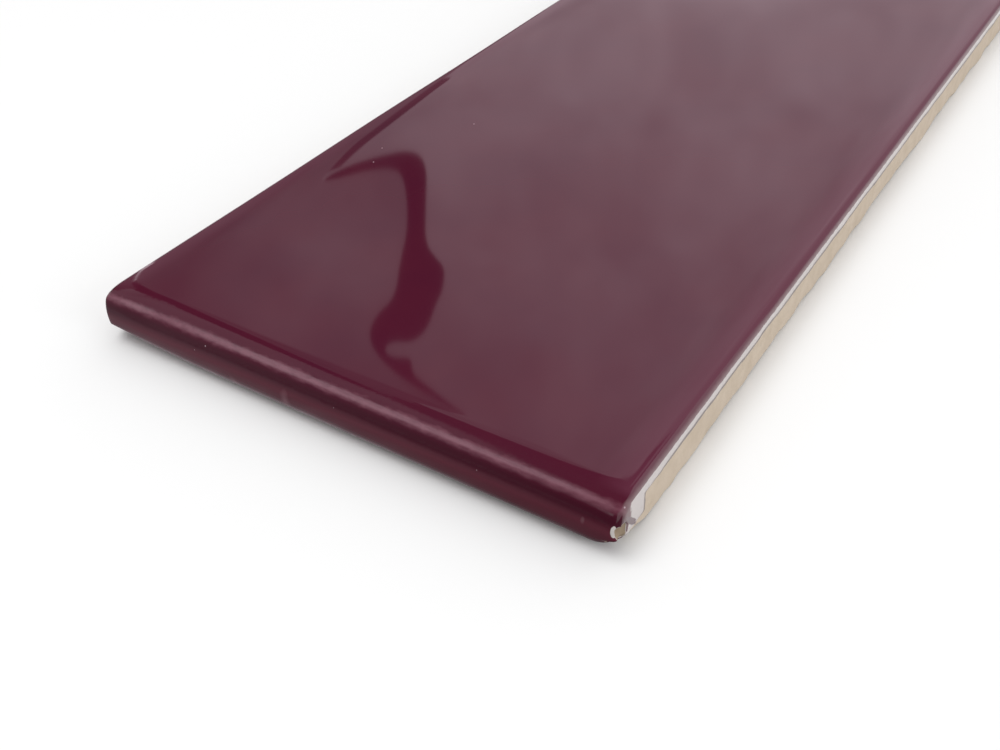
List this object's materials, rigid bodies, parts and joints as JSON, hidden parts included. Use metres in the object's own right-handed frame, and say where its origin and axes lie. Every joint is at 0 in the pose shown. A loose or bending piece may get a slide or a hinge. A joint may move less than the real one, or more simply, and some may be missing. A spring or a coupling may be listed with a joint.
{
  "type": "subway tile",
  "caption": "Oblong ceramic wall tile with a glossy burgundy glazed face, one rounded short edge, bare clay sides and a grooved back.",
  "frame": {"origin": "centre of the tile's outline, in the plane of the back that is bedded in adhesive", "axes": "+Z out of the glazed face, Y along the length with the rounded short edge at the -Y end, X across the width"},
  "size_m": [0.075, 0.15, 0.007],
  "materials": {
    "glazed_clay": "glossy burgundy glaze over a white slip on a pressed, fired clay body"
  },
  "bodies": {
    "root": {"tile": "glazed_clay"}
  },
  "joints": []
}
